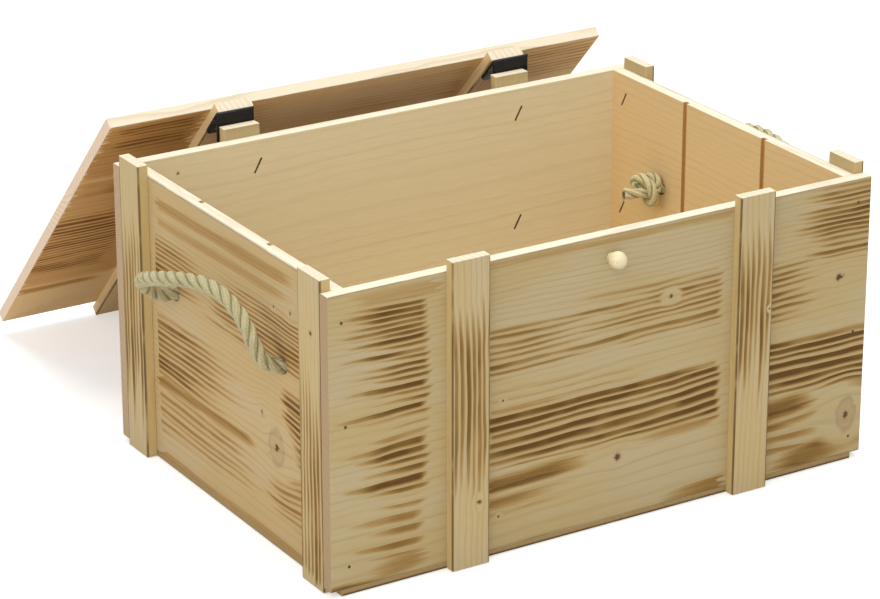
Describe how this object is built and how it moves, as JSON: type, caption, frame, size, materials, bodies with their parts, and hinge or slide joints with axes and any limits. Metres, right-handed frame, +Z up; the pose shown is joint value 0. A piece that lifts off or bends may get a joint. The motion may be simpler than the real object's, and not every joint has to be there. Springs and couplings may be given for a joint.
{
  "type": "wooden wine box",
  "caption": "Flamed softwood wine box with batten-framed walls, hinged batten lid on strap hinges, rope end handles and a ball knob.",
  "frame": {"origin": "middle of the case's underside, on the surface that the box stands on", "axes": "+X to the right along the front, +Y to the back, where the lid opens, +Z up"},
  "size_m": [0.467, 0.5166, 0.2223],
  "materials": {
    "flamed_wood": "torched and brushed softwood, matte",
    "lid_wood": "torched softwood, matte",
    "turned_wood": "turned, bare",
    "strap": "matte black",
    "rope": "three-strand laid natural fibre",
    "steel": "bright wire"
  },
  "bodies": {
    "case": {"front_board": "flamed_wood", "back_board": "flamed_wood", "left_end_board": "flamed_wood", "right_end_board": "flamed_wood", "bottom_panel": "flamed_wood", "left_front_corner_batten": "flamed_wood", "left_rear_corner_batten": "flamed_wood", "right_front_corner_batten": "flamed_wood", "right_rear_corner_batten": "flamed_wood", "front_left_batten": "flamed_wood", "front_right_batten": "flamed_wood", "back_left_batten": "flamed_wood", "back_right_batten": "flamed_wood", "left_strap_case_leaf": "strap", "right_strap_case_leaf": "strap", "left_strap_case_nails": "steel", "right_strap_case_nails": "steel", "knob": "turned_wood", "knob_screw": "steel", "left_rope_handle": "rope", "right_rope_handle": "rope", "left_rope_front_knot": "rope", "left_rope_rear_knot": "rope", "right_rope_front_knot": "rope", "right_rope_rear_knot": "rope", "front_board_nails": "steel", "back_board_nails": "steel", "bottom_panel_nails": "steel", "front_batten_staples": "steel", "back_batten_staples": "steel", "left_batten_staples": "steel", "right_batten_staples": "steel"},
    "lid": {"lid_board": "lid_wood", "lid_left_batten": "lid_wood", "lid_right_batten": "lid_wood", "left_strap_lid_leaf": "strap", "right_strap_lid_leaf": "strap", "left_strap_lid_nails": "steel", "right_strap_lid_nails": "steel", "lid_batten_staples": "steel"}
  },
  "joints": [
    {"name": "lid_hinge", "type": "hinge", "parent": "case", "child": "lid", "pos_m": [0, 0.1499, 0.21685], "axis": [1, 0, 0], "range_deg": [0, 226.7]}
  ]
}
